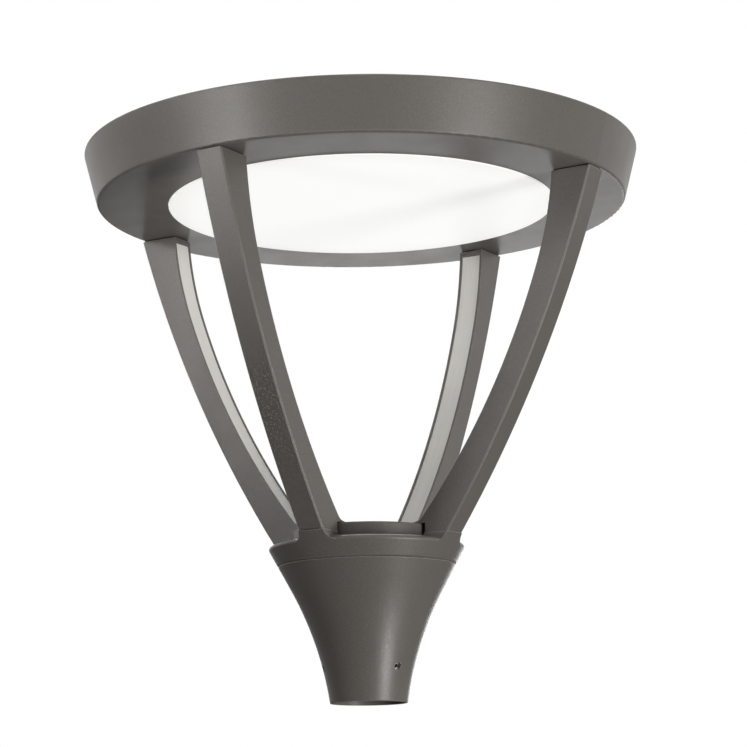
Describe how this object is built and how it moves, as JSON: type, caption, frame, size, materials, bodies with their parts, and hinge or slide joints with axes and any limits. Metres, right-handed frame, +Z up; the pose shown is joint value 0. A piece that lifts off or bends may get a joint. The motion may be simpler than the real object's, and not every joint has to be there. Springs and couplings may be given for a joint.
{
  "type": "led street light head",
  "caption": "Post-top street light head: a round tapered disc with an opal diffuser on curved arms that rise from a flared neck with a pole socket.",
  "frame": {"origin": "centre of the pole socket's mouth, on the lantern's axis", "axes": "+Z up the axis from the socket's mouth to the disc; +X to the first arm, +Y to the second"},
  "size_m": [0.5992, 0.5992, 0.6047],
  "materials": {
    "graphite_coat": "satin powder coat with a fine metallic grain",
    "grey_strip": "satin",
    "black_rubber": "matt",
    "screw_steel": "plain",
    "opal": "satin opal",
    "bare_aluminium": "mill",
    "white_coat": "matt",
    "board_white": "satin solder mask",
    "led_yellow": "phosphor",
    "white_plastic": "matt",
    "driver_case": "matt",
    "grey_plastic": "matt",
    "lead_sheath": "smooth sheath"
  },
  "bodies": {
    "root": {"neck": "graphite_coat", "hub_ring": "graphite_coat", "hub_cap": "graphite_coat", "arm_1": "graphite_coat", "arm_2": "graphite_coat", "arm_3": "graphite_coat", "arm_4": "graphite_coat", "arm_cover_1": "grey_strip", "arm_cover_2": "grey_strip", "arm_cover_3": "grey_strip", "arm_cover_4": "grey_strip", "arm_seal_1": "black_rubber", "arm_seal_2": "black_rubber", "arm_seal_3": "black_rubber", "arm_seal_4": "black_rubber", "head_housing": "graphite_coat", "top_cover": "graphite_coat", "grub_screws": "screw_steel", "neck_screws": "screw_steel", "hub_cap_screw": "screw_steel", "arm_foot_screws": "screw_steel", "arm_head_screws": "screw_steel", "clamp_screws": "screw_steel", "tray_screws": "screw_steel", "board_screws": "screw_steel", "driver_screws": "screw_steel", "terminal_screws": "screw_steel", "surge_screws": "screw_steel", "cover_screws": "screw_steel", "cable_grommet": "black_rubber", "diffuser_gasket": "black_rubber", "tray_grommet": "black_rubber", "cover_gasket": "black_rubber", "diffuser": "opal", "clamp_ring": "bare_aluminium", "gear_tray": "bare_aluminium", "side_reflector": "white_coat", "led_board_1": "board_white", "led_board_2": "board_white", "led_board_3": "board_white", "led_board_4": "board_white", "led_packages": "led_yellow", "board_connector": "white_plastic", "led_driver": "driver_case", "terminal_block": "white_plastic", "surge_protector": "grey_plastic", "driver_input_lead": "lead_sheath", "driver_output_lead": "lead_sheath"}
  },
  "joints": []
}
